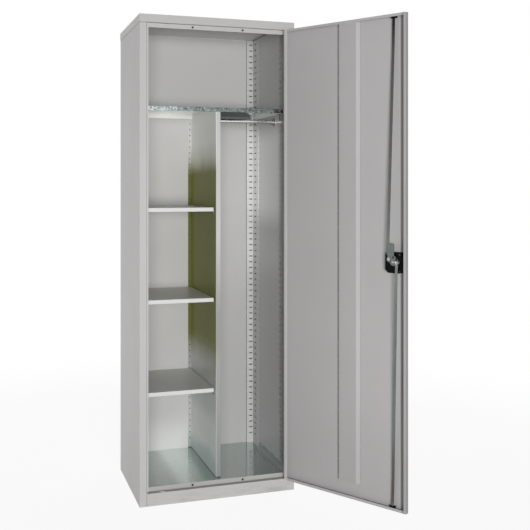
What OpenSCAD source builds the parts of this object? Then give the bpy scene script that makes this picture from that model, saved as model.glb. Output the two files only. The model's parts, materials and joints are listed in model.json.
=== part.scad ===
// Tall steel cupboard with one hinged door, three half-width shelves on the left,
// a hanging side on the right and a full-width shelf above both.
// X runs across the front to the right, +Y runs from the front to the back, +Z is up.
// The origin is the centre of the footprint, on the floor.
// The door stands open, as the cupboard is shown.

/* [Overall] */
// Width across the top cap
body_w = 610; // [580:1:700]
// Depth over the top cap
body_d = 457; // [430:1:520]
// Height of the whole cupboard
body_h = 1830; // [1800:1:1950]
// Thickness of the carcass sheets
sheet = 1; // [0.8:0.1:1.2]

/* [Front frame] */
// Height of the top cap's skirt
cap_h = 30; // [26:1:40]
// Width of each stile's front face
stile_w = 28; // [24:1:36]
// Depth from the stile's face to the door stop
rebate_d = 19; // [18.5:0.5:26]
// Width of the door stop inside each stile
stop_w = 8; // [6:1:14]
// Depth of the folded edge behind each door stop
stop_lip = 8; // [4:1:14]
// Height of the plinth
plinth_h = 47; // [40:1:60]
// Depth of the plinth's foot flange
plinth_foot = 18; // [10:1:18]
// Height of the bottom rail above the plinth
bottom_rail_h = 18; // [15:1:26]
// Height of the top rail below the cap
top_rail_h = 16; // [14:1:24]
// Depth of the folded edge behind each rail
rail_lip = 12; // [8:1:20]
// Distance of the door buffers from the middle
buffer_x = 99; // [60:1:130]
// Diameter of a door buffer
buffer_dia = 7.5; // [6:0.5:10]
// Gap between a buffer and the closed door
buffer_gap = 0.3; // [0.2:0.1:0.8]

/* [Sides and back] */
// Width of the fold at the rear of each side
rear_fold = 15; // [10:1:24]
// Width of each rear upright's leg along the back
strip_w = 29; // [26:1:36]
// Distance of that leg from the back panel
strip_off = 9; // [6:1:14]
// Width of each rear upright's leg along the side
upright_w = 84; // [70:1:110]
// Width by which the upright overlaps the inner panel
upright_lap = 6; // [4:1:12]
// Gap between the cap and the upper edges of the lining and back
top_gap = 4; // [1:0.5:8]
// Distance of the strip's slots from the corner
strip_slot_x = 11; // [8:0.5:12]
// Length of a slot in the strips along the back
strip_slot_l = 12; // [9:0.5:14]
// Length of a shelf slot
slot_l = 20; // [16:0.5:24]
// Height of a shelf slot
slot_h = 4.5; // [3:0.1:6]
// Distance from one shelf slot to the next
slot_pitch = 25; // [20:1:40]
// Height of the lowest shelf slot
slot_first = 107; // [100:1:120]
// Distance of the front slots from the front
slot_front = 85; // [78:1:120]
// Distance of the rear slots from the back
slot_rear = 44; // [36:1:60]
// Spacing of the rivets along the rear edges
rivet_pitch = 290; // [150:5:400]
// Radius of a rivet's head
rivet_r = 3; // [2:0.5:5]

/* [Base] */
// Width of the channel under the floor
channel_w = 80; // [60:1:140]
// Width of the channel's top flanges
channel_flange = 18; // [10:1:30]
// Depth of the rear base rail
base_rail_d = 20; // [14:1:30]
// Height of the floor pan's side edges
pan_edge = 25; // [15:1:30]
// Gap between those edges and the rear uprights
edge_gap = 0.3; // [0.1:0.1:2]

/* [Shelves] */
// Thickness of the shelf sheets
shelf_sheet = 1; // [0.8:0.1:1.2]
// Height of the top shelf's upper face
top_shelf_z = 1493; // [1440:1:1560]
// Depth of the top shelf's folded edges
top_shelf_lip = 16; // [12:1:25]
// Distance of the top shelf from the front
top_shelf_y = 40; // [34:1:60]
// Height of the lowest half shelf's upper face
half_shelf_z = 407; // [300:1:420]
// Height from one half shelf to the next
half_shelf_step = 350; // [300:25:350]
// Depth of the half shelves' folded edges
half_shelf_lip = 15; // [12:1:22]
// Distance of the half shelves from the front
half_shelf_y = 60; // [56:1:70]
// Width of the fold under each shelf's front edge
shelf_fold = 10; // [6:1:14]
// Gap between a shelf and the lining beside it
shelf_gap = 2; // [1.5:0.1:3]
// Gap between the half shelves and the divider
shelf_end_gap = 5; // [2:0.5:7]
// Gap between the shelves and the strips behind them
shelf_back_gap = 3; // [2:1:10]
// Width of a shelf clip
clip_w = 22; // [18:1:28]
// Length of a shelf clip's ledge
clip_ledge = 11; // [8:1:15]
// Thickness of a shelf clip
clip_t = 1.2; // [1:0.1:1.4]
// Depth of a clip's hook behind its slot
clip_hook = 4; // [3:0.5:6]

/* [Divider and rail] */
// Distance of the divider from the front
divider_y = 45; // [42:1:54]
// Width of the divider's folded front edge
divider_face = 18; // [12:1:24]
// Depth of the return behind the divider's front edge
divider_return = 12; // [8:1:16]
// Width of the divider's folded rear edge
divider_flange = 14; // [10:1:18]
// Length of a slot in that edge
flange_slot_l = 5; // [3:0.5:8]
// Distance of the hanging rail from the front
rail_y = 160; // [130:1:260]
// Height of the hanging rail
rail_z = 1451; // [1400:1:1454]
// Outer diameter of the hanging rail
rail_dia = 16; // [14:1:20]
// Wall of the hanging rail
rail_wall = 1.2; // [0.8:0.1:2]
// Diameter of a rail socket's flange
socket_dia = 36; // [34:1:42]
// Thickness of a rail socket's flange
socket_t = 2.5; // [1.5:0.5:4]
// Depth of a rail socket's cup
socket_cup = 12; // [8:1:18]
// Wall of a rail socket's cup
socket_wall = 2; // [1.5:0.5:3]
// Gap between the rail and its sockets
socket_gap = 0.3; // [0.1:0.1:0.5]

/* [Door] */
// Angle at which the door stands open
door_open = 121; // [100:1:135]
// Largest opening angle of the door
door_limit = 180; // [150:1:180]
// Thickness of the door's sheets
door_sheet = 1; // [0.8:0.1:1.2]
// Depth of the door's folded edges
door_d = 16; // [15:0.5:18]
// Width of the lip folded inwards from the door's edges
door_lip = 10; // [8:1:12]
// Width of the lip folded inwards from the door's hinged edge
door_hinge_lip = 14; // [8:1:18]
// Gap between the door and the free-side stile
gap_free = 2; // [1.5:0.5:4]
// Gap between the door and the hinge-side stile
gap_hinge = 3; // [2.9:0.1:4]
// Gap above the door
gap_top = 3; // [2:0.5:5]
// Gap below the door
gap_bottom = 2; // [1.5:0.5:4]
// Distance of the stiffener's middle from the free edge
stiffener_x = 248; // [200:1:300]
// Width of the stiffener's flat face
stiffener_face = 76; // [50:1:110]
// Width of each of the stiffener's sloping sides
stiffener_slope = 8; // [4:1:16]
// Width of each of the stiffener's welded feet
stiffener_foot = 8; // [6:1:14]
// Height of the stiffener's lower end above the door's edge
stiffener_low = 57; // [30:1:120]

/* [Hinges] */
// Height of the lowest hinge's middle above the door's edge
hinge_low = 150; // [100:1:250]
// Length of a hinge
hinge_l = 70; // [50:1:100]
// Radius of a hinge knuckle
knuckle_r = 4.2; // [4:0.1:4.4]
// Distance of the hinge pin in front of the stile's face
hinge_out = 5; // [4.9:0.1:6]
// Radius of a hinge pin
pin_r = 2.5; // [2:0.1:2.7]
// Radial clearance of the hinge pins
pin_clear = 0.05; // [0.02:0.01:0.1]
// Height of a hinge pin's head
pin_head = 1.5; // [1:0.5:3]
// Thickness of a hinge leaf
leaf_t = 1.2; // [1:0.1:1.2]
// Depth of a hinge leaf inside the rebate
leaf_d = 14; // [10:1:14]
// Gap between two knuckles
knuckle_gap = 0.4; // [0.2:0.1:0.8]

/* [Handle] */
// Distance of the handle's axis from the door's free edge
handle_x = 46.5; // [45:0.5:60]
// Height of the handle's axis above the door's lower edge
handle_z = 879; // [800:1:950]
// Distance from the handle's axis to the housing's edge on the hinge side
pan_left = 36; // [34:1:44]
// Distance from the handle's axis to the housing's edge on the free side
pan_right = 31; // [30.5:0.5:33]
// Distance from the handle's axis to the housing's upper edge
pan_up = 30; // [30:1:44]
// Distance from the handle's axis to the housing's lower edge
pan_down = 43; // [40:1:54]
// Depth of the housing behind the door's face
pan_d = 19; // [18:0.5:22]
// Wall of the housing
pan_wall = 2; // [1.5:0.5:2.5]
// Width of the housing's outer rim
pan_rim = 7; // [5:0.5:8]
// Thickness of the housing's outer rim
pan_rim_t = 2; // [1:0.5:3]
// Corner radius of the housing
pan_round = 10; // [4:1:12]
// Size of the cut-off corner of the housing
pan_chamfer = 12; // [6:1:14]
// Gap between the housing and the hole in the door
pan_gap = 0.3; // [0.2:0.1:0.6]
// Length of the turning grip
grip_l = 52; // [44:1:54]
// Width of the turning grip
grip_w = 19; // [18.5:0.5:20]
// Radius of the grip's boss
boss_r = 11; // [10:0.5:11.5]
// Height of the grip's front above the door's face
grip_out = 9; // [7:0.5:14]
// Thickness of the grip's bar
grip_t = 13; // [12:0.5:14]
// Radius of the lock barrel
barrel_r = 8; // [7:0.5:8.5]
// Length of the lock barrel
barrel_l = 18; // [16:0.5:18]
// Radial clearance of the turning parts
turn_clear = 0.05; // [0.02:0.01:0.1]
// Radius of the spindle in the housing
spindle_r = 6; // [5.5:0.5:7]
// Radius of the spindle's threaded end
spindle_end_r = 4.5; // [4:0.5:5]

/* [Locking rods] */
// Distance of each crank pin from the handle's axis
crank_r = 16.4; // [16:0.1:17]
// Angle of the crank above the level at rest
crank_angle = 19; // [10:1:25]
// Angle through which the handle turns
handle_turn = 90; // [80:1:100]
// Thickness of the cam plate
cam_t = 2; // [1.5:0.5:3]
// Radius of the cam plate's ends
cam_end_r = 9; // [8:0.5:10]
// Radius of the cam plate's middle
cam_mid_r = 17.5; // [13:0.5:18]
// Radius of a crank pin
crank_pin_r = 4; // [3:0.5:4.5]
// Radius of a crank pin's collar and head
crank_head_r = 6; // [5.5:0.5:6.5]
// Height of the nut on the spindle
nut_h = 3; // [2:0.5:3.5]
// Distance across the nut's corners
nut_dia = 17; // [14:0.5:18]
// Width of a locking rod
rod_w = 10; // [8:0.5:11]
// Thickness of a locking rod
rod_t = 2; // [1.5:0.5:2.5]
// Distance of the rods' ends behind the door's face
rod_in = 9; // [8:0.5:9.5]
// Distance of the upper rod's guide from the handle's axis
guide_x = 6; // [3:0.5:8]
// Distance of the lower rod's guide from the handle's axis
guide_low_x = 12; // [8:0.5:14]
// Wall of a rod guide at its sides and its face
guide_wall = 2; // [1:0.1:3]
// Height of a rod guide
guide_h = 14; // [10:1:24]
// Room at each side of a rod in its guide
guide_side = 3.2; // [3:0.1:4]
// Room before and behind a rod in its guide
guide_face = 0.5; // [0.3:0.1:0.8]
// Room round a rod in the frame's slots
strike_room = 1.6; // [1:0.1:2]
// Height of the upper link above its pin
link_up = 57; // [50:1:70]
// Width of the upper link on the hinge side of its pin
link_left = 6; // [2:0.5:8]
// Width of the upper link on the free side of its pin
link_right = 20; // [16:0.5:22]
// Radius of the upper link's eye
link_eye = 9.5; // [8.5:0.5:10]
// Distance of the upper link's lobe from its pin
link_lobe = 17; // [12:0.5:17.5]
// Radius of the lobe
link_lobe_r = 10.5; // [9:0.5:11]
// Radius of the hole in the lobe
link_hole_r = 4; // [2:0.5:5]
// Distance of the upper rod from its pin
rod_shift = 6; // [4:0.5:8]
// Distance from the pins at which the rods start to slant towards the door
bend_from = 66; // [60:1:80]
// Length of the rods' ends, which run straight through the guides
rod_end = 110; // [60:5:200]

/* [Hidden] */
$fn = 48;

paint = [0.74, 0.74, 0.72];
paint_shade = [0.68, 0.67, 0.67];
shelf_paint = [0.80, 0.80, 0.78];
galvanised = [0.58, 0.61, 0.63];
zinc = [0.66, 0.68, 0.67];
black = [0.06, 0.06, 0.06];

// Heights and depths of the frame, measured from the front left corner
inner_x = sheet + stile_w;
face_y = sheet;
stop_y = face_y + rebate_d;
back_y = body_d - 3 * sheet;
upright_y = back_y - upright_w;
frame_top = body_h - cap_h;
floor_z = plinth_h + bottom_rail_h;
rail_under = frame_top - top_rail_h;
rear_slot_y = body_d - slot_rear;
strip_y = back_y - strip_off - sheet;
shelf_rear = strip_y - shelf_back_gap;
lining_top = body_h - sheet - top_gap;
slot_count = floor((lining_top - 3 * slot_h - slot_first) / slot_pitch);
mid_x = body_w / 2;
divider_x = mid_x - sheet / 2;

// Edges of the door when it is closed
door_x0 = inner_x + gap_free;
door_x1 = body_w - inner_x - gap_hinge;
door_z0 = plinth_h + gap_bottom;
door_z1 = frame_top - gap_top;
hinge_x = door_x1 + gap_hinge / 2;
hinge_y = face_y - hinge_out;
hinge_zs = [
    door_z0 + hinge_low,
    (door_z0 + door_z1) / 2,
    door_z1 - hinge_low
];

// The handle's axis and the depths of what it carries, behind the door's face
axis_x = door_x0 + handle_x;
axis_z = door_z0 + handle_z;
cam_in = pan_d + 0.5;
nut_in = cam_in + cam_t;
link_in = nut_in + nut_h + 0.5;
upper_guide_x = axis_x + guide_x;
lower_guide_x = axis_x + guide_low_x;
guide_room = rod_w / 2 + guide_side;
pin_dx = crank_r * cos(crank_angle);
pin_dz = crank_r * sin(crank_angle);

// Each rod leans from its crank pin to its guide
upper_len = door_z1 - door_sheet - axis_z - pin_dz;
lower_len = axis_z - pin_dz - door_z0 - door_sheet;
upper_lean = asin((pin_dx + rod_shift - guide_x) / upper_len);
lower_lean = asin((pin_dx + guide_low_x) / lower_len);

// Frames of reference
module carcass() {
    translate([-body_w / 2, -body_d / 2, 0]) children();
}

module on_door() {
    carcass()
        translate([hinge_x, hinge_y, 0])
            rotate([0, 0, door_open])
                translate([-hinge_x, -hinge_y, 0])
                    children();
}

// Local Y is the depth behind the door's outer face
module on_handle() {
    on_door() translate([axis_x, face_y, axis_z]) children();
}

module other_side() {
    translate([body_w, 0, 0]) mirror([1, 0, 0]) children();
}

module slab(lo, hi) {
    translate(lo) cube(hi - lo);
}

module plate(lo, hi) {
    translate(lo) square(hi - lo);
}

// A round bar along +Y, from y0 to y1
module peg(r, y0, y1) {
    translate([0, y0, 0]) rotate([-90, 0, 0]) cylinder(r = r, h = y1 - y0);
}

// A round bar along +X, from x0 to x1
module axle(r, x0, x1) {
    translate([x0, 0, 0]) rotate([0, 90, 0]) cylinder(r = r, h = x1 - x0);
}

// Height of the slot that holds a clip under a shelf edge at the given height
function clip_slot(under) =
    slot_first + slot_pitch * floor((under - clip_t - slot_h - slot_first) / slot_pitch);

// Carcass sheets

module side_panel() {
    linear_extrude(body_h - sheet) {
        plate([sheet, face_y], [2 * sheet, body_d - sheet]);
        plate([sheet, face_y], [inner_x, face_y + sheet]);
        plate([inner_x - sheet, face_y], [inner_x, stop_y]);
        plate([sheet, body_d - 2 * sheet], [sheet + rear_fold, body_d - sheet]);
    }
}

module left_side_panel() {
    color(paint_shade) carcass() side_panel();
}

module right_side_panel() {
    color(paint_shade) carcass() other_side() side_panel();
}

module door_stop() {
    linear_extrude(body_h - sheet) {
        plate([inner_x - sheet, stop_y], [inner_x + stop_w, stop_y + sheet]);
        plate([inner_x + stop_w - sheet, stop_y], [inner_x + stop_w, stop_y + stop_lip]);
    }
}

module left_door_stop() {
    color(paint) carcass() door_stop();
}

module right_door_stop() {
    color(paint) carcass() other_side() door_stop();
}

// A slot through a sheet whose normal is X, centred on a given depth and height
module slot(x, y, z) {
    translate([x - sheet, y - slot_l / 2, z - slot_h / 2])
        cube([3 * sheet, slot_l, slot_h]);
}

module slot_column(x, y) {
    for (row = [0 : slot_count]) {
        slot(x, y, slot_first + row * slot_pitch);
    }
}

module inner_panel() {
    difference() {
        slab(
            [inner_x - sheet, stop_y + sheet, 0],
            [inner_x, upright_y + upright_lap, lining_top]
        );
        slot_column(inner_x - sheet, slot_front);
    }
}

module left_inner_panel() {
    color(paint) carcass() inner_panel();
}

module right_inner_panel() {
    color(paint) carcass() other_side() inner_panel();
}

module rear_upright() {
    difference() {
        translate([0, 0, floor_z])
            linear_extrude(lining_top - floor_z) {
                plate([inner_x, upright_y], [inner_x + sheet, strip_y + sheet]);
                plate([inner_x, strip_y], [inner_x + strip_w, strip_y + sheet]);
                plate([inner_x + strip_w - sheet, strip_y], [inner_x + strip_w, back_y]);
            }
        slot_column(inner_x, rear_slot_y);
        for (row = [0 : slot_count]) {
            translate([
                inner_x + strip_slot_x - strip_slot_l / 2,
                strip_y - sheet,
                slot_first + row * slot_pitch - slot_h / 2
            ])
                cube([strip_slot_l, 3 * sheet, slot_h]);
        }
    }
}

module left_rear_upright() {
    color(paint) carcass() rear_upright();
}

module right_rear_upright() {
    color(paint) carcass() other_side() rear_upright();
}

module back_panel() {
    color(paint) carcass()
        slab([2 * sheet, back_y, 0], [body_w - 2 * sheet, back_y + sheet, lining_top]);
}

module back_rivets() {
    rivet_count = floor((body_h - cap_h - 2 * plinth_h) / rivet_pitch);
    color(paint) carcass()
        for (x = [sheet + rear_fold / 2, body_w - sheet - rear_fold / 2]) {
            for (i = [0 : rivet_count]) {
                translate([x, 0, plinth_h + i * rivet_pitch])
                    peg(rivet_r, body_d - sheet, body_d);
            }
        }
}

module top_cap() {
    color(paint) carcass()
        difference() {
            slab([0, 0, frame_top], [body_w, body_d, body_h]);
            slab(
                [sheet, sheet, frame_top - 1],
                [body_w - sheet, body_d - sheet, body_h - sheet]
            );
        }
}

// Slot in a frame rail that takes the end of a locking rod
module strike(x, z) {
    half_w = guide_room + strike_room;
    y0 = face_y + rod_in - strike_room;
    slab(
        [x - half_w, y0, z - 1],
        [x + half_w, y0 + rod_t + 2 * strike_room, z + sheet + 1]
    );
}

module top_front_rail() {
    web_x = inner_x + stop_w;
    color(paint) carcass()
        difference() {
            union() {
                slab(
                    [inner_x, face_y, frame_top],
                    [body_w - inner_x, stop_y, frame_top + sheet]
                );
                slab(
                    [web_x, stop_y, rail_under],
                    [body_w - web_x, stop_y + sheet, frame_top + sheet]
                );
                slab(
                    [web_x, stop_y, rail_under],
                    [body_w - web_x, stop_y + rail_lip, rail_under + sheet]
                );
            }
            strike(upper_guide_x, frame_top);
        }
}

module bottom_front_rail() {
    web_x = inner_x + stop_w;
    color(paint) carcass()
        difference() {
            union() {
                slab(
                    [inner_x, face_y + sheet, plinth_h - sheet],
                    [body_w - inner_x, stop_y, plinth_h]
                );
                slab(
                    [web_x, stop_y, plinth_h - sheet],
                    [body_w - web_x, stop_y + sheet, floor_z]
                );
                slab(
                    [web_x, stop_y, floor_z - 2 * sheet],
                    [body_w - web_x, stop_y + rail_lip, floor_z - sheet]
                );
            }
            strike(lower_guide_x, plinth_h - sheet);
        }
}

module plinth_front() {
    color(paint) carcass() {
        slab([inner_x, face_y, 0], [body_w - inner_x, face_y + sheet, plinth_h]);
        slab([inner_x, face_y, 0], [body_w - inner_x, face_y + plinth_foot, sheet]);
    }
}

module base_channel() {
    y0 = stop_y + rail_lip;
    y1 = back_y - sheet - base_rail_d;
    x0 = mid_x - channel_w / 2;
    x1 = mid_x + channel_w / 2;
    under = floor_z - sheet;
    color(galvanised) carcass() {
        slab([x0, y0, 0], [x1, y1, sheet]);
        slab([x0, y0, 0], [x0 + sheet, y1, under]);
        slab([x1 - sheet, y0, 0], [x1, y1, under]);
        slab([x0 - channel_flange, y0, under - sheet], [x0 + sheet, y1, under]);
        slab([x1 - sheet, y0, under - sheet], [x1 + channel_flange, y1, under]);
    }
}

module base_rear_rail() {
    y1 = back_y - sheet;
    y0 = y1 - base_rail_d;
    under = floor_z - sheet;
    color(galvanised) carcass() {
        slab([inner_x, y1 - sheet, 0], [body_w - inner_x, y1, under]);
        slab([inner_x, y0, under - sheet], [body_w - inner_x, y1, under]);
        slab([inner_x, y0, 0], [body_w - inner_x, y1, sheet]);
    }
}

module floor_pan() {
    y0 = stop_y + sheet;
    y1 = back_y - sheet;
    color(galvanised) carcass() {
        difference() {
            slab([inner_x, y0, floor_z - sheet], [body_w - inner_x, y1, floor_z]);
            for (x = [inner_x, body_w - inner_x]) {
                slab(
                    [x - stop_w, y0 - 1, floor_z - 2 * sheet],
                    [x + stop_w, stop_y + stop_lip, floor_z + 1]
                );
            }
        }
        for (x = [inner_x, body_w - inner_x - sheet]) {
            slab(
                [x, stop_y + stop_lip, floor_z - sheet],
                [x + sheet, upright_y - edge_gap, floor_z + pan_edge]
            );
        }
    }
}

module door_buffers() {
    heights = [rail_under + top_rail_h / 2, plinth_h + bottom_rail_h / 2];
    front = face_y + door_d + buffer_gap;
    color(black) carcass()
        for (z = heights) {
            for (side = [-1, 1]) {
                translate([mid_x + side * buffer_x, 0, z])
                    peg(buffer_dia / 2, front, stop_y);
            }
        }
}

// Shelves and what carries them

// A tray of folded sheet with its edges turned down
module tray(x0, x1, y0, y1, top, lip) {
    under = top - lip;
    slab([x0, y0, top - shelf_sheet], [x1, y1, top]);
    slab([x0, y0, under], [x1, y0 + shelf_sheet, top]);
    slab([x0, y0, under], [x1, y0 + shelf_fold, under + shelf_sheet]);
    slab([x0, y1 - shelf_sheet, under], [x1, y1, top]);
    slab([x0, y0, under], [x0 + shelf_sheet, y1, top]);
    slab([x1 - shelf_sheet, y0, under], [x1, y1, top]);
}

// A clip on a wall whose face is at x = 0, under a shelf edge at the given height.
// Its hook reaches through the nearest slot below.
module clip(y, under) {
    slot_z = clip_slot(under);
    slab([0, y - clip_w / 2, slot_z - slot_h], [clip_t, y + clip_w / 2, under]);
    slab([0, y - clip_w / 2, under - clip_t], [clip_ledge, y + clip_w / 2, under]);
    slab(
        [-clip_hook, y - slot_l / 2 + 1, slot_z - slot_h / 2 + 0.5],
        [0, y + slot_l / 2 - 1, slot_z + slot_h / 2 - 0.5]
    );
}

// A front clip on a wall at one x and a rear clip on a wall at another
module clip_pair(front_x, rear_x, under) {
    translate([front_x, 0, 0]) clip(slot_front, under);
    translate([rear_x, 0, 0]) clip(rear_slot_y, under);
}

module top_shelf() {
    color(galvanised) carcass()
        tray(
            inner_x + shelf_gap, body_w - inner_x - shelf_gap,
            top_shelf_y, shelf_rear,
            top_shelf_z, top_shelf_lip
        );
}

module top_shelf_clips() {
    under = top_shelf_z - top_shelf_lip;
    color(zinc) carcass() {
        clip_pair(inner_x, inner_x + sheet, under);
        other_side() clip_pair(inner_x, inner_x + sheet, under);
    }
}

module half_shelf(step) {
    color(shelf_paint) carcass()
        tray(
            inner_x + shelf_gap, divider_x - shelf_end_gap,
            half_shelf_y, shelf_rear,
            half_shelf_z + step * half_shelf_step, half_shelf_lip
        );
}

function half_shelf_under(step) = half_shelf_z + step * half_shelf_step - half_shelf_lip;

module half_shelf_clips(step) {
    under = half_shelf_under(step);
    color(zinc) carcass() {
        clip_pair(inner_x, inner_x + sheet, under);
        translate([divider_x, 0, 0]) mirror([1, 0, 0]) clip_pair(0, 0, under);
    }
}

module shelf_lower() {
    half_shelf(0);
}

module shelf_middle() {
    half_shelf(1);
}

module shelf_upper() {
    half_shelf(2);
}

module shelf_lower_clips() {
    half_shelf_clips(0);
}

module shelf_middle_clips() {
    half_shelf_clips(1);
}

module shelf_upper_clips() {
    half_shelf_clips(2);
}

module divider() {
    lip_z = top_shelf_z - top_shelf_lip;
    top_z = top_shelf_z - shelf_sheet;
    rows = floor((lip_z - slot_l - slot_first) / slot_pitch);
    color(galvanised) carcass()
        difference() {
            union() {
                slab([divider_x, divider_y, floor_z], [divider_x + sheet, back_y, lip_z]);
                slab(
                    [divider_x, top_shelf_y + shelf_fold + 1, floor_z],
                    [divider_x + sheet, shelf_rear - 2 * shelf_sheet, top_z]
                );
                slab(
                    [divider_x, divider_y, floor_z],
                    [divider_x + divider_face, divider_y + sheet, lip_z]
                );
                slab(
                    [divider_x + divider_face - sheet, divider_y, floor_z],
                    [divider_x + divider_face, divider_y + divider_return, lip_z]
                );
                slab(
                    [divider_x - divider_flange, back_y - sheet, floor_z],
                    [divider_x + sheet, back_y, lip_z]
                );
            }
            for (step = [0 : 2]) {
                slot(divider_x, slot_front, clip_slot(half_shelf_under(step)));
                slot(divider_x, rear_slot_y, clip_slot(half_shelf_under(step)));
            }
            for (row = [0 : rows]) {
                translate([
                    divider_x - (divider_flange + flange_slot_l) / 2,
                    back_y - 2 * sheet,
                    slot_first + row * slot_pitch - slot_h / 2
                ])
                    cube([flange_slot_l, 3 * sheet, slot_h]);
            }
        }
}

module on_rail() {
    carcass() translate([0, rail_y, rail_z]) children();
}

module hanging_rail() {
    x0 = divider_x + sheet + socket_t;
    x1 = body_w - inner_x - socket_t;
    color(zinc) on_rail()
        difference() {
            axle(rail_dia / 2, x0, x1);
            axle(rail_dia / 2 - rail_wall, x0 - 1, x1 + 1);
        }
}

// A socket whose flange lies on a wall at x = 0
module rail_socket() {
    bore = rail_dia / 2 + socket_gap;
    difference() {
        union() {
            axle(socket_dia / 2, 0, socket_t);
            axle(bore + socket_wall, 0, socket_t + socket_cup);
        }
        axle(bore, socket_t, socket_t + socket_cup + 1);
    }
}

module rail_socket_left() {
    color(zinc) on_rail() translate([divider_x + sheet, 0, 0]) rail_socket();
}

module rail_socket_right() {
    color(zinc) on_rail()
        translate([body_w - inner_x, 0, 0]) mirror([1, 0, 0]) rail_socket();
}

module rail_socket_screws() {
    reach = (rail_dia / 2 + socket_gap + socket_wall + socket_dia / 2) / 2;
    walls = [divider_x + sheet + socket_t, body_w - inner_x - socket_t - 1];
    color(zinc) on_rail()
        for (x = walls) {
            for (side = [-1, 1]) {
                translate([x, side * reach, 0]) axle(2.4, 0, 1);
            }
        }
}

// Hinges: the frame leaf has the outer two knuckles, the door leaf the middle one

module knuckle(z0, z1) {
    translate([hinge_x, hinge_y, z0]) cylinder(r = knuckle_r, h = z1 - z0);
}

module pin_bore(z) {
    translate([hinge_x, hinge_y, z - hinge_l])
        cylinder(r = pin_r + pin_clear, h = 2 * hinge_l);
}

module frame_leaf(z) {
    low = z - hinge_l / 2;
    third = hinge_l / 3;
    leaf_x = body_w - inner_x - leaf_t;
    root_y = hinge_y + knuckle_r + 0.5;
    color(paint) carcass()
        difference() {
            union() {
                slab([leaf_x, root_y, low], [leaf_x + leaf_t, root_y + leaf_d, low + hinge_l]);
                for (z0 = [low, low + 2 * third]) {
                    knuckle(z0, z0 + third);
                    slab([leaf_x, hinge_y, z0], [leaf_x + leaf_t, root_y, z0 + third]);
                }
            }
            pin_bore(z);
        }
}

module door_leaf(z) {
    low = z - hinge_l / 2;
    third = hinge_l / 3;
    root_y = hinge_y + knuckle_r + 0.5;
    z0 = low + third + knuckle_gap;
    z1 = low + 2 * third - knuckle_gap;
    color(paint) on_door()
        difference() {
            union() {
                slab([door_x1, root_y, low], [door_x1 + leaf_t, root_y + leaf_d, low + hinge_l]);
                knuckle(z0, z1);
                slab([door_x1, hinge_y, z0], [door_x1 + leaf_t, root_y, z1]);
            }
            pin_bore(z);
        }
}

module hinge_pin(z) {
    color(zinc) carcass() {
        translate([hinge_x, hinge_y, z - hinge_l / 2]) cylinder(r = pin_r, h = hinge_l);
        translate([hinge_x, hinge_y, z + hinge_l / 2])
            cylinder(r = knuckle_r - 0.4, h = pin_head);
    }
}

module hinge_frame_leaf_bottom() {
    frame_leaf(hinge_zs[0]);
}

module hinge_frame_leaf_middle() {
    frame_leaf(hinge_zs[1]);
}

module hinge_frame_leaf_top() {
    frame_leaf(hinge_zs[2]);
}

module hinge_door_leaf_bottom() {
    door_leaf(hinge_zs[0]);
}

module hinge_door_leaf_middle() {
    door_leaf(hinge_zs[1]);
}

module hinge_door_leaf_top() {
    door_leaf(hinge_zs[2]);
}

module hinge_pin_bottom() {
    hinge_pin(hinge_zs[0]);
}

module hinge_pin_middle() {
    hinge_pin(hinge_zs[1]);
}

module hinge_pin_top() {
    hinge_pin(hinge_zs[2]);
}

// Door

// The room that a locking rod has where it is guided
module rod_way(x, z0, h) {
    translate([x - guide_room, face_y + rod_in - guide_face, z0])
        cube([2 * guide_room, rod_t + 2 * guide_face, h]);
}

module door_skin() {
    y0 = face_y;
    y1 = face_y + door_d;
    t = door_sheet;
    color(paint_shade) on_door()
        difference() {
            slab([door_x0, y0, door_z0], [door_x1, y1, door_z1]);
            slab([door_x0 + t, y0 + t, door_z0 + t], [door_x1 - t, y1 - t, door_z1 - t]);
            slab(
                [door_x0 + door_lip, y1 - 2 * t, door_z0 + door_lip],
                [door_x1 - door_hinge_lip, y1 + 1, door_z1 - door_lip]
            );
            translate([axis_x, y0, axis_z]) {
                slab(
                    [-pan_right - pan_gap, -1, -pan_down - pan_gap],
                    [pan_left + pan_gap, t + 1, pan_up + pan_gap]
                );
            }
            rod_way(lower_guide_x, door_z0 - 1, t + 2);
            rod_way(upper_guide_x, door_z1 - t - 1, t + 2);
        }
}

module door_stiffener() {
    half = stiffener_face / 2;
    low = half + stiffener_slope;
    foot = low + stiffener_foot;
    t = door_sheet;
    y0 = t;
    y1 = door_d - t;
    color(paint_shade) on_door()
        translate([door_x0 + stiffener_x, face_y, door_z0 + stiffener_low])
            linear_extrude(door_z1 - door_z0 - stiffener_low - t)
                polygon([
                    [-foot, y0], [-low + t, y0], [-half + t, y1 - t],
                    [half - t, y1 - t], [low - t, y0], [foot, y0],
                    [foot, y0 + t], [low, y0 + t], [half, y1],
                    [-half, y1], [-low, y0 + t], [-foot, y0 + t]
                ]);
}

// A guide block under one of the door's end flanges
module rod_guide(x, z0) {
    half_w = guide_room + guide_wall;
    front = face_y + rod_in + rod_t + guide_face + guide_wall;
    color(black) on_door()
        difference() {
            slab([x - half_w, face_y + door_sheet, z0], [x + half_w, front, z0 + guide_h]);
            rod_way(x, z0 - 1, guide_h + 2);
        }
}

module upper_rod_guide() {
    rod_guide(upper_guide_x, door_z1 - door_sheet - guide_h);
}

module lower_rod_guide() {
    rod_guide(lower_guide_x, door_z0 + door_sheet);
}

// Handle

// Outline of the housing in the door's plane, grown by a margin
module pan_outline(margin) {
    x0 = -pan_right - margin;
    x1 = pan_left + margin;
    z0 = -pan_down - margin;
    z1 = pan_up + margin;
    r = pan_round;
    c = pan_chamfer;
    difference() {
        union() {
            plate([x0 + r, z0], [x1 - r, z1]);
            plate([x0, z0 + r], [x1, z1 - r]);
            for (x = [x0 + r, x1 - r]) {
                for (z = [z0 + r, z1 - r]) {
                    translate([x, z]) circle(r = r);
                }
            }
        }
        polygon([
            [x1 - c, z0 - 1], [x1 + 1, z0 - 1], [x1 + 1, z0 + c],
            [x1, z0 + c], [x1 - c, z0]
        ]);
    }
}

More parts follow.
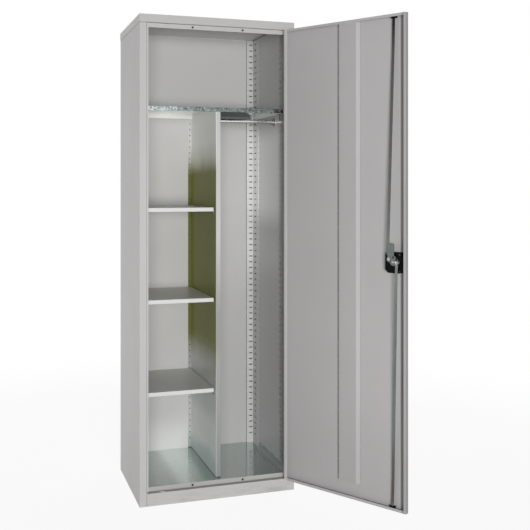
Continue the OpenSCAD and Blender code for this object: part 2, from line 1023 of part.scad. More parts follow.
// Extrudes an outline in X and Z along +Y, from y0 to y1
module along_depth(y0, y1) {
    translate([0, y1, 0]) rotate([90, 0, 0]) linear_extrude(y1 - y0) children();
}

module handle_housing() {
    color(black) on_handle()
        difference() {
            union() {
                along_depth(-pan_rim_t, 0) pan_outline(pan_rim);
                along_depth(-pan_rim_t, pan_d) pan_outline(0);
            }
            along_depth(-pan_rim_t - 1, pan_d - pan_wall) pan_outline(-pan_wall);
            peg(spindle_r + turn_clear, 0, pan_d + 1);
        }
}

module housing_screws() {
    inset = 7;
    color(zinc) on_handle()
        for (z = [pan_up - inset, -pan_down + inset]) {
            translate([-pan_right + inset, 0, z]) peg(2.6, pan_d, pan_d + 1.4);
        }
}

module handle_grip() {
    foot = pan_d - pan_wall - 0.5;
    seat = spindle_start();
    half = grip_l / 2 - grip_w / 2;
    color(black) on_handle()
        difference() {
            union() {
                peg(boss_r, -grip_out, foot);
                along_depth(-grip_out, grip_t - grip_out) {
                    plate([-half, -grip_w / 2], [half, grip_w / 2]);
                    for (x = [-half, half]) {
                        translate([x, 0]) circle(r = grip_w / 2);
                    }
                }
            }
            peg(barrel_r + turn_clear, -grip_out - 1, -grip_out + barrel_l + 0.2);
            peg(spindle_r + turn_clear, seat, foot + 1);
        }
}

function spindle_start() = -grip_out + barrel_l + 1.5;

module handle_spindle() {
    color(zinc) on_handle() {
        peg(spindle_r, spindle_start() + 0.2, cam_in);
        peg(spindle_end_r, cam_in, nut_in + nut_h + 0.4);
    }
}

module cam_plate() {
    color(zinc) on_handle()
        difference() {
            along_depth(cam_in, cam_in + cam_t)
                rotate(crank_angle) {
                    plate([-crank_r, -cam_end_r], [crank_r, cam_end_r]);
                    circle(r = cam_mid_r);
                    for (side = [-1, 1]) {
                        translate([side * crank_r, 0]) circle(r = cam_end_r);
                    }
                }
            peg(spindle_end_r + turn_clear, cam_in - 1, cam_in + cam_t + 1);
        }
}

module cam_nut() {
    color(zinc) on_handle()
        difference() {
            translate([0, nut_in, 0])
                rotate([-90, 0, 0]) cylinder(r = nut_dia / 2, h = nut_h, $fn = 6);
            peg(spindle_end_r + turn_clear, nut_in - 1, nut_in + nut_h + 1);
        }
}

// The pin that carries the upper rod is on the hinge side of the axis
module on_pin(side) {
    on_handle() translate([side * pin_dx, 0, side * pin_dz]) children();
}

module crank_pins() {
    color(zinc)
        for (side = [-1, 1]) {
            on_pin(side) {
                peg(crank_head_r, nut_in, link_in - 0.3);
                peg(crank_pin_r, nut_in, link_in + rod_t + 0.3);
                peg(crank_head_r, link_in + rod_t + 0.3, link_in + rod_t + 1.5);
            }
        }
}

// Turns a rod about its pin so that it leans to the free side as it rises
module leaning(angle) {
    rotate([0, -angle, 0]) children();
}

module upper_link() {
    corner = 5;
    lobe_z = 4;
    color(zinc) on_pin(1) leaning(upper_lean)
        difference() {
            along_depth(link_in, link_in + rod_t) {
                circle(r = link_eye);
                translate([-link_lobe, lobe_z]) circle(r = link_lobe_r);
                plate([-link_lobe, lobe_z - link_eye], [0, lobe_z + link_eye]);
                plate([-link_right, 0], [link_left, link_up - corner]);
                plate([-link_right + corner, 0], [link_left - corner, link_up]);
                for (x = [-link_right + corner, link_left - corner]) {
                    translate([x, link_up - corner]) circle(r = corner);
                }
            }
            peg(crank_pin_r + turn_clear, link_in - 1, link_in + rod_t + 1);
            translate([-link_lobe, 0, lobe_z + link_hole_r])
                peg(link_hole_r, link_in - 1, link_in + rod_t + 1);
        }
}

// A flat bar that runs up from z0, slants in towards the door's skin and ends at z1
module stepped_bar(z0, bend, z1, from_in) {
    t = rod_t;
    translate([-rod_w / 2, 0, 0])
        rotate([90, 0, 90])
            linear_extrude(rod_w)
                polygon([
                    [from_in, z0], [from_in + t, z0],
                    [from_in + t, bend], [rod_in + t, z1 - rod_end],
                    [rod_in + t, z1], [rod_in, z1],
                    [rod_in, z1 - rod_end], [from_in, bend]
                ]);
}

module upper_rod() {
    start = link_eye + 6;
    color(zinc) on_pin(1) leaning(upper_lean)
        translate([rod_shift, 0, 0])
            stepped_bar(start, bend_from, upper_len, link_in - rod_t);
}

module lower_rod() {
    eye = 7;
    color(zinc) on_pin(-1) leaning(lower_lean)
        difference() {
            union() {
                mirror([0, 0, 1]) stepped_bar(0, bend_from, lower_len, link_in);
                peg(eye, link_in, link_in + rod_t);
            }
            peg(crank_pin_r + turn_clear, link_in - 1, link_in + rod_t + 1);
        }
}

module lock_barrel() {
    slit = [1.8, 3, 8];
    color(zinc) on_handle()
        difference() {
            peg(barrel_r, -grip_out - 0.6, -grip_out + barrel_l);
            translate([-slit[0] / 2, -grip_out - 1, -slit[2] / 2]) cube(slit);
        }
}

left_side_panel();
right_side_panel();
left_door_stop();
right_door_stop();
left_inner_panel();
right_inner_panel();
left_rear_upright();
right_rear_upright();
back_panel();
back_rivets();
top_cap();
top_front_rail();
bottom_front_rail();
plinth_front();
base_channel();
base_rear_rail();
floor_pan();
door_buffers();
top_shelf();
top_shelf_clips();
shelf_upper();
shelf_upper_clips();
shelf_middle();
shelf_middle_clips();
shelf_lower();
shelf_lower_clips();
divider();
hanging_rail();
rail_socket_left();
rail_socket_right();
rail_socket_screws();
hinge_frame_leaf_top();
hinge_frame_leaf_middle();
hinge_frame_leaf_bottom();
hinge_door_leaf_top();
hinge_door_leaf_middle();
hinge_door_leaf_bottom();
hinge_pin_top();
hinge_pin_middle();
hinge_pin_bottom();
door_skin();
door_stiffener();
upper_rod_guide();
lower_rod_guide();
handle_housing();
housing_screws();
handle_grip();
handle_spindle();
cam_plate();
cam_nut();
crank_pins();
upper_link();
upper_rod();
lower_rod();
lock_barrel();
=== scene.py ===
import json
import math

import bmesh
import bpy
from mathutils import Matrix, Vector


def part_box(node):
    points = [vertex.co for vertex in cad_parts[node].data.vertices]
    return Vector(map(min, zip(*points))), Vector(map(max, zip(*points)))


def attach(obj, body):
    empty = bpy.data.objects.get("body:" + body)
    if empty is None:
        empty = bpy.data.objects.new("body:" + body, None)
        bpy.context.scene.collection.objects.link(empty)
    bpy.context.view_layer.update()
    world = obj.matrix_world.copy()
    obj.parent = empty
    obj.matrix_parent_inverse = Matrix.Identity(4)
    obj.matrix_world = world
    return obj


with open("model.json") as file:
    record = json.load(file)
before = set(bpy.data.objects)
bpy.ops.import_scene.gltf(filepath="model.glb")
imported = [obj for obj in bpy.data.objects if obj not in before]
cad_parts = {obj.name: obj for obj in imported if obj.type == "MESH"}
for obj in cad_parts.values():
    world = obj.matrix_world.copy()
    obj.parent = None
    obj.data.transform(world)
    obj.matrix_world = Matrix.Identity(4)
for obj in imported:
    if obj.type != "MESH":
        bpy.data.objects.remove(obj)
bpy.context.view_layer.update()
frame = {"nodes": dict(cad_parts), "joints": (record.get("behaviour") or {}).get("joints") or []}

NODES = frame["nodes"]
JOINTS = {joint["name"]: joint for joint in frame["joints"]}
SCENE = bpy.context.scene
MM = 0.001

# camera, level as the photograph's was and turned a little to the right
CAMERA_PLACE = (-0.87008, -3.41835, 1.19685)
CAMERA_TURN = -18.376
SENSOR_WIDTH = 36.0
FOCAL_LENGTH = 58.858
CAMERA_SHIFT = (-0.00255, -0.15226)

camera = bpy.data.objects.new("camera", bpy.data.cameras.new("camera"))
camera.data.sensor_width = SENSOR_WIDTH
camera.data.lens = FOCAL_LENGTH
camera.data.shift_x, camera.data.shift_y = CAMERA_SHIFT
camera.data.clip_start = 0.05
camera.data.clip_end = 60.0
camera.location = CAMERA_PLACE
camera.rotation_euler = (math.radians(90), 0, math.radians(CAMERA_TURN))
SCENE.collection.objects.link(camera)
SCENE.camera = camera
SCENE.view_settings.view_transform = "Standard"

# places, read from the frame
HINGE = Vector((*JOINTS["door_hinge"]["pos_m"][:2], 0.0))
DOOR_OPEN = -JOINTS["door_hinge"]["range_deg"][0]
DOOR_AT = Matrix.Translation(HINGE) @ Matrix.Rotation(math.radians(DOOR_OPEN), 4, "Z")


def door_box(name):
    """A node's lowest and highest corners, in the coordinates of the closed door."""
    shut = DOOR_AT.inverted()
    points = [shut @ vertex.co for vertex in NODES[name].data.vertices]
    return [Vector([pick(point[k] for point in points) for k in range(3)]) for pick in (min, max)]


SIDE_LOW, SIDE_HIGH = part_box("left_side_panel")
CAP_LOW, CAP_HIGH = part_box("top_cap")
PLINTH_LOW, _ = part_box("plinth_front")
RAIL_LOW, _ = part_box("bottom_front_rail")
STOP_LOW, STOP_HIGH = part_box("left_door_stop")
LINING_LOW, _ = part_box("right_inner_panel")
UPRIGHT_LOW, UPRIGHT_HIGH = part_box("right_rear_upright")
_, BACK_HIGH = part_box("back_panel")
DIVIDER_LOW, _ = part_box("divider")
SHELF_LOW, SHELF_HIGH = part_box("top_shelf")
PAN_LOW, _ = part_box("floor_pan")
SKIN_LOW, SKIN_HIGH = door_box("door_skin")
STIFFENER_LOW, STIFFENER_HIGH = door_box("door_stiffener")
_, PINS_HIGH = door_box("crank_pins")
# the face of the rear uprights beside the back, and their rows of slots
UPRIGHT_FACE = UPRIGHT_HIGH.y - 10 * MM
FIRST_SLOT = UPRIGHT_LOW.z + 42 * MM
SLOT_PITCH = 25 * MM


# node helpers
def node(tree, kind, inputs=None, **settings):
    """A new shader node with its settings, and its input sockets linked or set."""
    made = tree.nodes.new("ShaderNode" + kind)
    for name, value in settings.items():
        setattr(made, name, value)
    for socket, value in (inputs or {}).items():
        feed(tree, made.inputs[socket], value)
    return made


def feed(tree, socket, value):
    """Links a socket to its source, or sets its number, vector or colour."""
    if isinstance(value, bpy.types.NodeSocket):
        tree.links.new(value, socket)
    elif socket.type == "RGBA":
        socket.default_value = (*value, 1.0)
    else:
        socket.default_value = value


def fresh_tree(owner, output):
    """The node tree of a material or world, emptied, and the surface socket of its new output."""
    owner.use_nodes = True
    tree = owner.node_tree
    tree.nodes.clear()
    return tree, node(tree, output).inputs["Surface"]


def coords(tree):
    """The place on the object, in the frame."""
    return node(tree, "TexCoord").outputs["Object"]


def on_door(tree):
    """The place in the closed door: X is 0 at the hinge and falls to the free edge, Y is the depth."""
    inputs = {"Vector": coords(tree), "Location": HINGE, "Rotation": (0, 0, math.radians(DOOR_OPEN))}
    return node(tree, "Mapping", inputs, vector_type="TEXTURE").outputs["Vector"]


def axes(tree, vector):
    """X, Y and Z of a vector."""
    split = node(tree, "SeparateXYZ", {"Vector": vector})
    return split.outputs["X"], split.outputs["Y"], split.outputs["Z"]


def noise(tree, vector, scale, detail=2.0, roughness=0.5, stretch=None):
    """Noise about 0.5. stretch scales the axes one by one."""
    if stretch is not None:
        vector = node(tree, "Mapping", {"Vector": vector, "Scale": stretch}).outputs["Vector"]
    inputs = {"Vector": vector, "Scale": scale, "Detail": detail, "Roughness": roughness}
    return node(tree, "TexNoise", inputs).outputs["Fac"]


def mapped(tree, value, low, high, start=0.0, end=1.0, **settings):
    """Turns start to end into low to high, and holds these beyond."""
    inputs = {"Value": value, "From Min": start, "From Max": end, "To Min": low, "To Max": high}
    return node(tree, "MapRange", inputs, **settings).outputs["Result"]


def maths(tree, operation, first, second=0.0):
    """One sum of two numbers, either of which may be a socket."""
    return node(tree, "Math", {0: first, 1: second}, operation=operation).outputs[0]


def both(tree, first, second):
    """The product of two masks."""
    return maths(tree, "MULTIPLY", first, second)


def either(tree, first, second):
    """The larger of two masks."""
    return maths(tree, "MAXIMUM", first, second)


def step(tree, value, off, on):
    """Goes smoothly from 0 at off to 1 at on, whichever is the larger."""
    rises = off < on
    start, end = min(off, on), max(off, on)
    return mapped(tree, value, float(not rises), float(rises), start, end, interpolation_type="SMOOTHSTEP")


def band(tree, value, start, end, soft):
    """1 from start to end, with edges that are soft either way."""
    rise = step(tree, value, start - soft, start + soft)
    fall = step(tree, value, end + soft, end - soft)
    return both(tree, rise, fall)


def blend(tree, mask, first, second):
    """Goes from the first number to the second as the mask rises."""
    return node(tree, "Mix", {0: mask, 2: first, 3: second}, data_type="FLOAT").outputs[0]


def mix(tree, mask, first, second, kind="MIX"):
    """Goes from the first colour to the second as the mask rises."""
    inputs = {0: mask, 6: first, 7: second}
    return node(tree, "Mix", inputs, data_type="RGBA", blend_type=kind).outputs[2]


def as_colour(value):
    """A number stands for the grey of that value."""
    return (value,) * 3 if isinstance(value, (int, float)) else value


def shade(tree, colour, mask, factor):
    """Multiplies the colour by a number or another colour where the mask is 1."""
    return mix(tree, mask, colour, as_colour(factor), "MULTIPLY")


def toned(colour, factor, lift=0.0):
    """The colour times factor, with lift added, no brighter than white."""
    return tuple(min(1.0, part * factor + lift) for part in colour)


def ramp(tree, value, stops):
    """Colours or greys along a value, from stops of place and colour between 0 and 1."""
    made = node(tree, "ValToRGB", {"Fac": value})
    elements = made.color_ramp.elements
    while len(elements) < len(stops):
        elements.new(0.5)
    for element, (place, colour) in zip(elements, stops):
        element.position = place
        element.color = (*as_colour(colour), 1.0)
    return made.outputs["Color"]


def by_height(tree, z, stops):
    """Colours or greys by height, from stops of height and colour, the lowest first."""
    low, high = stops[0][0], stops[-1][0]
    scaled = [((height - low) / (high - low), colour) for height, colour in stops]
    return ramp(tree, mapped(tree, z, 0.0, 1.0, start=low, end=high), scaled)


def bump(tree, shader, heights):
    """Lays bumps over each other, each a height, a strength and a distance in metres."""
    normal = None
    for height, strength, distance in heights:
        made = node(tree, "Bump", {"Height": height, "Strength": strength, "Distance": distance})
        if normal is not None:
            feed(tree, made.inputs["Normal"], normal)
        normal = made.outputs["Normal"]
    feed(tree, shader.inputs["Normal"], normal)


def mix_shaders(tree, mask, first, second):
    """Goes from the first node's shader to the second's as the mask rises."""
    return node(tree, "MixShader", {0: mask, 1: first.outputs[0], 2: second.outputs[0]})


# kinds of material
PAINT_SPECULAR = 0.45


def new_material(name):
    """A new material with one Principled shader: the material, its tree and the shader."""
    material = bpy.data.materials.new(name)
    tree, surface = fresh_tree(material, "OutputMaterial")
    shader = node(tree, "BsdfPrincipled")
    feed(tree, surface, shader.outputs["BSDF"])
    return material, tree, shader


def painted(name, base, rough, spread=0.02, marks=None, gloss=None):
    """Powder-coated sheet: orange peel, slight waviness, faint clouds and scratches, and its marks."""
    material, tree, shader = new_material(name)
    place = coords(tree)
    clouds = noise(tree, place, 3.2, detail=3.0, roughness=0.55)
    colour = ramp(tree, clouds, [(0.3, toned(base, 1 - spread)), (0.7, toned(base, 1 + spread))])
    specks = noise(tree, place, 60.0, detail=3.0, roughness=0.6)
    dirt = mapped(tree, specks, 0.0, 0.03, start=0.45, end=0.75)
    colour = mix(tree, dirt, colour, toned(base, 0.8))
    hairlines = noise(tree, place, 38.0, detail=4.0, roughness=0.7, stretch=(9.0, 9.0, 0.5))
    scratches = mapped(tree, hairlines, 0.0, 0.10, start=0.66, end=0.80)
    colour = mix(tree, scratches, colour, toned(base, 1.35))
    if marks is not None:
        colour = marks(tree, colour)
    feed(tree, shader.inputs["Base Color"], colour)
    patches = mapped(tree, noise(tree, place, 9.0, detail=3.0), rough - 0.05, rough + 0.06)
    feed(tree, shader.inputs["Roughness"], patches)
    waves = noise(tree, place, 5.0, detail=1.0, roughness=0.4)
    peel = noise(tree, place, 620.0, detail=1.0, roughness=0.4)
    bump(tree, shader, [(waves, 0.12, 4 * MM), (peel, 0.10, 0.2 * MM)])
    shader.inputs["Specular IOR Level"].default_value = PAINT_SPECULAR
    if gloss is not None:
        gloss(tree, shader)
    return material


def galvanised(name, dark, light, rough, cell, metal=1.0, stretch=(1.0, 0.06, 1.0), contrast=1.0,
               wave=0.10, marks=None, gloss=None):
    """Hot-dip galvanised sheet: spangle cells that differ in tone and gloss, and rolling streaks."""
    material, tree, shader = new_material(name)
    place = coords(tree)
    drift = node(tree, "TexNoise", {"Vector": place, "Scale": cell * 0.6}).outputs["Color"]
    moved = {0: drift, 1: (0.4 / cell,) * 3, 2: place}
    bent = node(tree, "VectorMath", moved, operation="MULTIPLY_ADD").outputs["Vector"]
    cells = node(tree, "TexVoronoi", {"Vector": bent, "Scale": cell}).outputs["Color"]
    spangle = node(tree, "SeparateColor", {"Color": cells}).outputs
    middle = tuple((a + b) / 2 for a, b in zip(dark, light))
    colour = ramp(tree, spangle["Red"], [(0.0, dark), (0.55, middle), (1.0, light)])
    streaks = noise(tree, place, 14.0, detail=4.0, roughness=0.6, stretch=stretch)
    rolled = mapped(tree, streaks, 0.0, 0.35 * contrast, start=0.4, end=0.7)
    colour = mix(tree, rolled, colour, light)
    if marks is not None:
        colour = marks(tree, colour)
    feed(tree, shader.inputs["Base Color"], colour)
    glint = mapped(tree, spangle["Green"], rough - 0.06 * contrast, rough + 0.12 * contrast)
    feed(tree, shader.inputs["Roughness"], glint)
    shader.inputs["Metallic"].default_value = metal
    waves = noise(tree, place, 6.0, detail=1.0)
    bump(tree, shader, [(waves, wave, 3 * MM), (spangle["Blue"], 0.05 * contrast, 0.1 * MM)])
    if gloss is not None:
        gloss(tree, shader)
    return material


def zinc(name, base, rough, tones=None):
    """Zinc-plated steel with faint brushing and cloudy passivation. tones paint light and shade on it by
    height.
    """
    material, tree, shader = new_material(name)
    place = coords(tree)
    clouds = noise(tree, place, 22.0, detail=3.0, roughness=0.6)
    colour = ramp(tree, clouds, [(0.3, toned(base, 0.86)), (0.7, toned(base, 1.12))])
    if tones is not None:
        _, _, z = axes(tree, place)
        wobble = mapped(tree, noise(tree, place, 11.0, detail=2.0), -0.02, 0.02)
        # painted reflections and shade by height, where tones are given
        colour = shade(tree, colour, 1.0, by_height(tree, maths(tree, "ADD", z, wobble), tones))
    feed(tree, shader.inputs["Base Color"], colour)
    shader.inputs["Metallic"].default_value = 1.0
    brushed = noise(tree, place, 260.0, detail=2.0, roughness=0.6, stretch=(1.0, 1.0, 0.06))
    feed(tree, shader.inputs["Roughness"], mapped(tree, brushed, rough - 0.07, rough + 0.14))
    bump(tree, shader, [(brushed, 0.12, 0.15 * MM)])
    return material


def plastic(name, base, rough, grain=900.0, specular=0.5):
    """Moulded plastic with a fine spark-eroded grain and scuffs."""
    material, tree, shader = new_material(name)
    place = coords(tree)
    scuff = noise(tree, place, 45.0, detail=4.0, roughness=0.65)
    worn = mapped(tree, scuff, 0.0, 0.3, start=0.5, end=0.8)
    feed(tree, shader.inputs["Base Color"], mix(tree, worn, base, toned(base, 2.2, lift=0.004)))
    feed(tree, shader.inputs["Roughness"], mapped(tree, scuff, rough - 0.08, rough + 0.1))
    shader.inputs["Specular IOR Level"].default_value = specular
    bump(tree, shader, [(noise(tree, place, grain, detail=2.0, roughness=0.6), 0.25, 0.2 * MM)])
    return material


# marks on the carcass
def scuffs(tree, z, top, texture, start, full):
    """Blotches that fade out from the floor up to top, where the texture passes start and then full."""
    return both(tree, step(tree, z, top, 0.0), mapped(tree, texture, 0.0, 1.0, start=start, end=full))


def side_marks(tree, colour):
    """Painted shadow in the seam under the cap, painted shade along the left stile's fold, and scuffs low
    down.
    """
    place = coords(tree)
    x, y, z = axes(tree, place)
    fold, front, seam = SIDE_HIGH.x, SIDE_LOW.y, CAP_LOW.z
    # painted shade beside the fold of the left stile
    beside_fold = band(tree, x, fold - 3.2 * MM, fold - 0.5 * MM, 0.4 * MM)
    on_stile = step(tree, y, front + 2.0 * MM, front + 1.3 * MM)
    colour = shade(tree, colour, both(tree, beside_fold, on_stile), 0.66)
    # painted shadow under the cap's lower edge
    colour = shade(tree, colour, band(tree, z, seam - 2.5 * MM, seam + 0.5 * MM, 0.8 * MM), 0.55)
    kicks = scuffs(tree, z, 0.10, noise(tree, place, 17.0, detail=5.0, roughness=0.7), 0.52, 0.70)
    return shade(tree, colour, kicks, 0.80)


def frame_marks(tree, colour):
    """Shoe scuffs on the plinth, painted shade in the corner above it, a duller sunk rail and painted light
    on the ceiling.
    """
    place = coords(tree)
    _, y, z = axes(tree, place)
    texture = noise(tree, place, 23.0, detail=5.0, roughness=0.7, stretch=(0.4, 1.0, 2.0))
    colour = shade(tree, colour, scuffs(tree, z, 0.06, texture, 0.50, 0.68), 0.78)
    # painted shade in the corner above the plinth
    on_plinth = band(tree, z, RAIL_LOW.z, RAIL_LOW.z + 4 * MM, 0.8 * MM)
    set_back = step(tree, y, PLINTH_LOW.y + 6 * MM, PLINTH_LOW.y + 11 * MM)
    colour = shade(tree, colour, both(tree, on_plinth, set_back), 0.62)
    sunk = step(tree, y, RAIL_LOW.y + 15.0 * MM, RAIL_LOW.y + 16.5 * MM)
    colour = shade(tree, colour, both(tree, sunk, step(tree, z, 1.0, 0.9)), 0.84)
    # painted light on the underside of the cap inside, the ceiling
    ceiling = band(tree, z, CAP_HIGH.z - 2.5 * MM, CAP_HIGH.z - 0.5 * MM, 0.3 * MM)
    inside = step(tree, y, CAP_LOW.y + 1.7 * MM, CAP_LOW.y + 2.3 * MM)
    return shade(tree, colour, both(tree, inside, ceiling), 1.72)


def stop_marks(tree, colour):
    """Painted shade where the left stop goes behind its stile, and painted shade on the lip of the right
    stop.
    """
    x, y, _ = axes(tree, coords(tree))
    # painted shade beside the stile
    behind_stile = band(tree, x, SIDE_HIGH.x, SIDE_HIGH.x + 2.8 * MM, 0.3 * MM)
    colour = shade(tree, colour, behind_stile, 0.72)
    # painted shade on the lip of the right stop
    on_right = step(tree, x, 0.0, 0.1)
    on_lip = step(tree, y, STOP_LOW.y + 0.5 * MM, STOP_LOW.y + 2.5 * MM)
    colour = shade(tree, colour, both(tree, on_right, on_lip), 0.35)
    return shade(tree, colour, step(tree, x, STOP_HIGH.x - 3.6 * MM, STOP_HIGH.x - 2.6 * MM), 1.10)


def inner_marks(tree, colour):
    """The left lining is a touch paler towards the top."""
    _, _, z = axes(tree, coords(tree))
    return shade(tree, colour, step(tree, z, 0.6, 1.6), 1.08)


def back_marks(tree, colour):
    """Inside: painted light along the left edge, paler low down at the left, duller at the right, and
    painted shade behind the uprights and the divider.
    """
    x, y, z = axes(tree, coords(tree))
    outside = colour
    # painted light where the left lining shades the back
    colour = shade(tree, colour, step(tree, x, -0.190, -0.245), 1.15)
    low_left = both(tree, step(tree, z, 0.24, 0.09), band(tree, x, -0.20, -0.01, 0.06))
    colour = shade(tree, colour, low_left, 1.30)
    low_right = both(tree, step(tree, z, 0.9, 0.6), step(tree, x, -0.01, 0.01))
    colour = shade(tree, colour, low_right, 0.89)
    # painted shade on the back behind the uprights and the divider's flange, seen through their slots
    edge = UPRIGHT_LOW.x - 0.8 * MM
    uprights = either(tree, step(tree, x, edge, edge + 0.4 * MM), step(tree, x, -edge, -edge - 0.4 * MM))
    flange = band(tree, x, DIVIDER_LOW.x + 0.3 * MM, -0.8 * MM, 0.3 * MM)
    under_shelf = step(tree, z, SHELF_LOW.z + 0.5 * MM, SHELF_LOW.z - 0.5 * MM)
    painted_shade_behind = either(tree, uprights, both(tree, flange, under_shelf))
    inside = step(tree, y, BACK_HIGH.y - 0.3 * MM, BACK_HIGH.y - 0.7 * MM)
    return mix(tree, inside, outside, shade(tree, colour, painted_shade_behind, 0.10))


# the right wall: the heights of a painted highlight on it
HIGHLIGHT_LOW, HIGHLIGHT_HIGH, HIGHLIGHT_SOFT = 1.06, 1.42, 0.07


def before_upright(tree, y):
    """1 on the wall and 0 on the rear upright's face."""
    return step(tree, y, UPRIGHT_FACE - 0.3 * MM, UPRIGHT_FACE - 0.9 * MM)


def highlight_stretch(tree):
    """The stretch of the right wall that carries a painted highlight."""
    _, y, z = axes(tree, coords(tree))
    along = both(tree, step(tree, y, -0.19, -0.09), before_upright(tree, y))
    return both(tree, band(tree, z, HIGHLIGHT_LOW, HIGHLIGHT_HIGH, HIGHLIGHT_SOFT), along)


def wall_marks(tree, colour):
    """Painted shade in front, a painted highlight at middle height, also on the upright, a fainter painted
    highlight below, and darker at each row of slots.
    """
    _, y, z = axes(tree, coords(tree))
    front = step(tree, y, LINING_LOW.y + 92.5 * MM, LINING_LOW.y + 4.5 * MM)
    # painted shade towards the front edge of the wall
    colour = shade(tree, colour, front, (0.18, 0.165, 0.15))
    # painted highlight at middle height
    colour = shade(tree, colour, highlight_stretch(tree), 1.68)
    on_upright = step(tree, y, UPRIGHT_FACE - 0.9 * MM, UPRIGHT_FACE - 0.3 * MM)
    highlight_band = band(tree, z, HIGHLIGHT_LOW, HIGHLIGHT_HIGH, HIGHLIGHT_SOFT)
    # painted highlight on the upright's face
    colour = shade(tree, colour, both(tree, highlight_band, on_upright), 1.22)
    below = both(tree, band(tree, z, 0.84, 1.02, 0.08), band(tree, y, -0.14, 0.26, 0.05))
    # a fainter painted highlight below it
    colour = shade(tree, colour, below, 1.22)
    rows = maths(tree, "DIVIDE", maths(tree, "SUBTRACT", z, FIRST_SLOT - SLOT_PITCH / 2), SLOT_PITCH)
    near_slots = band(tree, maths(tree, "FRACT", rows), 0.40, 0.60, 0.05)
    return shade(tree, colour, both(tree, near_slots, band(tree, y, 0.10, 0.22, 0.03)), 0.90)


def worn_coat(tree, shader, mask):
    """A glossy film over the paint or zinc where the mask is 1."""
    feed(tree, shader.inputs["Coat Weight"], mask)
    shader.inputs["Coat Roughness"].default_value = 0.42
    shader.inputs["Coat IOR"].default_value = 2.4


def wall_gloss(tree, shader):
    """Glossier where the painted highlight is."""
    feed(tree, shader.inputs["Specular IOR Level"], mapped(tree, highlight_stretch(tree), PAINT_SPECULAR, 1.0))
    worn_coat(tree, shader, highlight_stretch(tree))


# marks on the door, in the coordinates of the closed door
def near_floor(tree, z):
    """Rises from knee height to the door's foot."""
    return step(tree, z, 0.50, 0.10)


def door_marks(tree, colour):
    """Duller near the floor, painted shade on the free edge and on the free lip, a paler lip on the hinged
    side, and painted shadow on the skin beside the free lip.
    """
    x, y, z = axes(tree, on_door(tree))
    free, hinged = SKIN_LOW.x, SKIN_HIGH.x
    colour = shade(tree, colour, near_floor(tree, z), 0.90)
    # painted shade on the free edge
    colour = shade(tree, colour, step(tree, x, free + 1.1 * MM, free + 0.3 * MM), 0.68)
    # painted shade on the inner part of the free lip
    on_lips = step(tree, y, SKIN_HIGH.y - 2.0 * MM, SKIN_HIGH.y - 1.6 * MM)
    free_lip = band(tree, x, free + 5.5 * MM, free + 18.5 * MM, 1.0 * MM)
    colour = shade(tree, colour, both(tree, on_lips, free_lip), 0.72)
    hinged_lip = step(tree, x, hinged - 15.5 * MM, hinged - 13.5 * MM)
    colour = shade(tree, colour, both(tree, on_lips, hinged_lip), 1.26)
    # painted shadow on the skin beside the free lip
    in_fold = band(tree, y, SKIN_LOW.y + 0.7 * MM, SKIN_LOW.y + 9.0 * MM, 0.3 * MM)
    beside_lip = band(tree, x, free + 15.5 * MM, free + 30.0 * MM, 2.2 * MM)
    return shade(tree, colour, both(tree, in_fold, beside_lip), (0.42, 0.40, 0.38))


def stiffener_marks(tree, colour):
    """Duller near the floor, with painted shadow along the foot on the hinged side."""
    x, _, z = axes(tree, on_door(tree))
    # painted shadow along the foot on the hinged side
    foot = STIFFENER_HIGH.x - 9.5 * MM
    colour = shade(tree, colour, near_floor(tree, z), 0.88)
    return shade(tree, colour, step(tree, x, foot, foot + 3 * MM), (0.80, 0.79, 0.78))


# marks on the divider, a sheet on the frame's middle plane with a front strip and a rear flange
# painted reflections on the divider's left face, by height
OLIVE = (0.25, 0.265, 0.030)
LEFT_FACE = [
    (0.065, (0.52, 0.63, 0.61)), (0.115, (0.64, 0.76, 0.74)), (0.155, (0.95, 0.98, 0.96)),
    (0.24, (0.98, 1.0, 0.98)), (0.31, (0.78, 0.81, 0.79)), (0.47, (0.60, 0.62, 0.58)), (0.56, OLIVE),
    (1.24, OLIVE), (1.305, (0.75, 0.77, 0.62)), (1.36, (0.97, 0.98, 0.93)), (1.48, (0.97, 0.98, 0.94)),
]
REAR_FLANGE = [(0.06, 0.52), (1.25, 0.52), (1.36, 0.60), (1.48, 0.58)]
# the front strip's tones by height, painted reflected light
FRONT_STRIP = [
    (0.06, (0.235, 0.24, 0.24)), (0.30, (0.31, 0.31, 0.31)), (0.70, (0.37, 0.375, 0.36)),
    (1.00, (0.63, 0.635, 0.615)), (1.22, (0.61, 0.605, 0.59)), (1.48, (0.50, 0.52, 0.515)),
]


def divider_marks(tree, colour):
    """Painted reflections on the left face, olive in the middle and pale above and below, painted reflected
    light on the front strip, paler higher up, and a dark line at the foot.
    """
    place = coords(tree)
    x, _, z = axes(tree, place)
    ragged = maths(tree, "ADD", z, mapped(tree, noise(tree, place, 6.0, detail=1.0), -0.04, 0.04))
    # painted reflections on the left face
    left = mix(tree, 0.88, colour, by_height(tree, ragged, LEFT_FACE))
    right = shade(tree, colour, 1.0, 1.40)
    colour = mix(tree, step(tree, x, -0.1 * MM, 0.3 * MM), left, right)
    on_flange = step(tree, x, -0.6 * MM, -0.9 * MM)
    colour = shade(tree, colour, on_flange, by_height(tree, z, REAR_FLANGE))
    on_strip = step(tree, x, 0.6 * MM, 1.0 * MM)
    # painted reflected light on the front strip
    colour = mix(tree, on_strip, colour, by_height(tree, z, FRONT_STRIP))
    foot = step(tree, z, DIVIDER_LOW.z + 5.5 * MM, DIVIDER_LOW.z + 1.5 * MM)
    return shade(tree, colour, foot, 0.25)


def divider_gloss(tree, shader):
    """The olive stretch is matt, the rest satin and the top polished."""
    x, _, z = axes(tree, coords(tree))
    matt = band(tree, z, 0.54, 1.28, 0.05)
    feed(tree, shader.inputs["Specular IOR Level"], mapped(tree, matt, 0.60, 0.05))
    sheet = band(tree, x, -0.7 * MM, 0.7 * MM, 0.1 * MM)
    worn_coat(tree, shader, both(tree, sheet, step(tree, z, 1.24, 1.36)))


